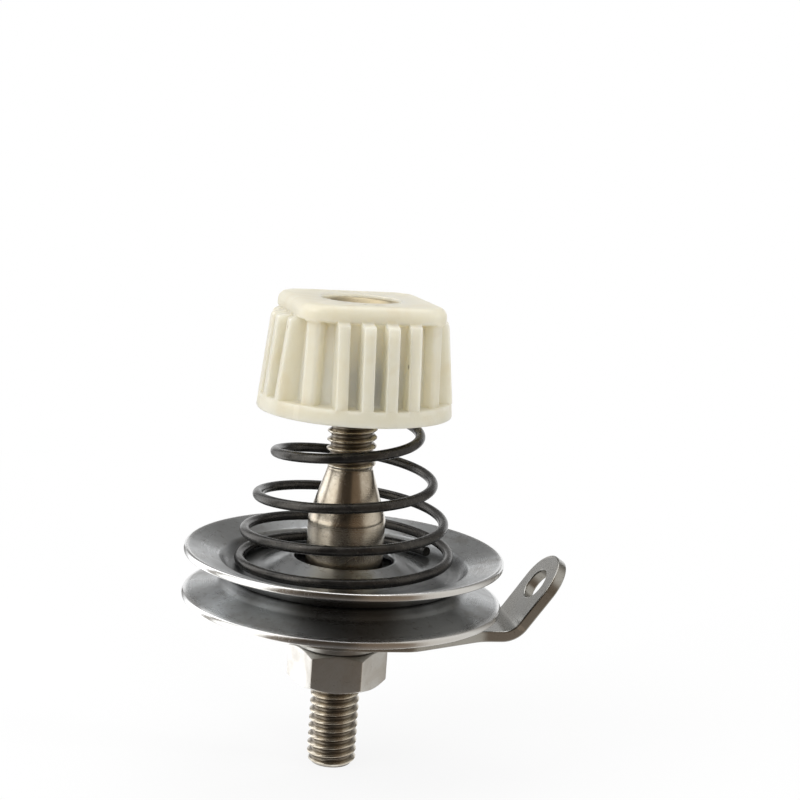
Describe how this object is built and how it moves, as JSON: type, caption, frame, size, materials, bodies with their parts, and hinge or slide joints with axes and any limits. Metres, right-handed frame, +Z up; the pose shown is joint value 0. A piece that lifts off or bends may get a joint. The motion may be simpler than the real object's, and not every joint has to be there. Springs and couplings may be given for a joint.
{
  "type": "bobbin winder thread tension",
  "caption": "Bobbin winder thread tension unit: saucer discs pinched by a conical spring under a ribbed thumb nut, on a threaded stud with an eyelet guide arm.",
  "frame": {"origin": "on the stud's axis at the lower face of the lock nut, where the part seats on its machine", "axes": "+Z up the stud towards the thumb nut, +X along the thread guide's arm"},
  "size_m": [0.0312, 0.0256, 0.038],
  "materials": {
    "stud_nickel": "nickel plate on a turned stud, warm and slightly cloudy",
    "nut_chrome": "bright plated hexagon with faint turning marks",
    "washer_steel": "plain zinc grey",
    "guide_chrome": "plated pressed strip, soft mirror",
    "disc_nickel": "satin pressed saucer with a polished rim and fine lapping rings",
    "spring_steel": "oil-blackened spring wire",
    "ivory_plastic": "moulded ivory plastic, semi-gloss, with small dark specks",
    "insert_brass": "turned brass"
  },
  "bodies": {
    "stud": {"tension_stud": "stud_nickel"},
    "guide": {"thread_guide": "guide_chrome"},
    "washer": {"lock_washer": "washer_steel"},
    "nut": {"lock_nut": "nut_chrome"},
    "lower_disc": {"lower_tension_disc": "disc_nickel"},
    "upper_disc": {"upper_tension_disc": "disc_nickel"},
    "spring": {"tension_spring": "spring_steel"},
    "thumb_nut": {"thumb_nut_shell": "ivory_plastic", "thumb_nut_insert": "insert_brass"}
  },
  "joints": [
    {"name": "guide_swivel", "type": "hinge", "parent": "stud", "child": "guide", "pos_m": [0, 0, 0.00465], "axis": [0, 0, 1], "continuous": true},
    {"name": "lock_nut_travel", "type": "slide", "parent": "stud", "child": "washer", "axis": [0, 0, 1], "range_m": [-0.0063, 0]},
    {"name": "lock_nut_turn", "type": "hinge", "parent": "washer", "child": "nut", "pos_m": [0, 0, 0.0016], "axis": [0, 0, 1], "range_deg": [-3245, 0]},
    {"name": "disc_spin", "type": "hinge", "parent": "stud", "child": "lower_disc", "pos_m": [0, 0, 0.0089], "axis": [0, 0, 1], "continuous": true},
    {"name": "disc_lift", "type": "slide", "parent": "lower_disc", "child": "upper_disc", "axis": [0, 0, 1], "range_m": [0, 0.001], "stiffness_N_per_m": 390, "springref_m": -0.001},
    {"name": "thumb_nut_travel", "type": "slide", "parent": "stud", "child": "spring", "axis": [0, 0, 1], "range_m": [-0.0049, 0], "deforming": ["tension_spring"]},
    {"name": "thumb_nut_turn", "type": "hinge", "parent": "spring", "child": "thumb_nut", "pos_m": [0, 0, 0.0268], "axis": [0, 0, 1], "range_deg": [-2525, 0]}
  ],
  "couplings": [
    {"joint": "lock_nut_turn", "follows": "lock_nut_travel", "rad_per_m": 8976},
    {"joint": "thumb_nut_turn", "follows": "thumb_nut_travel", "rad_per_m": 8976}
  ]
}
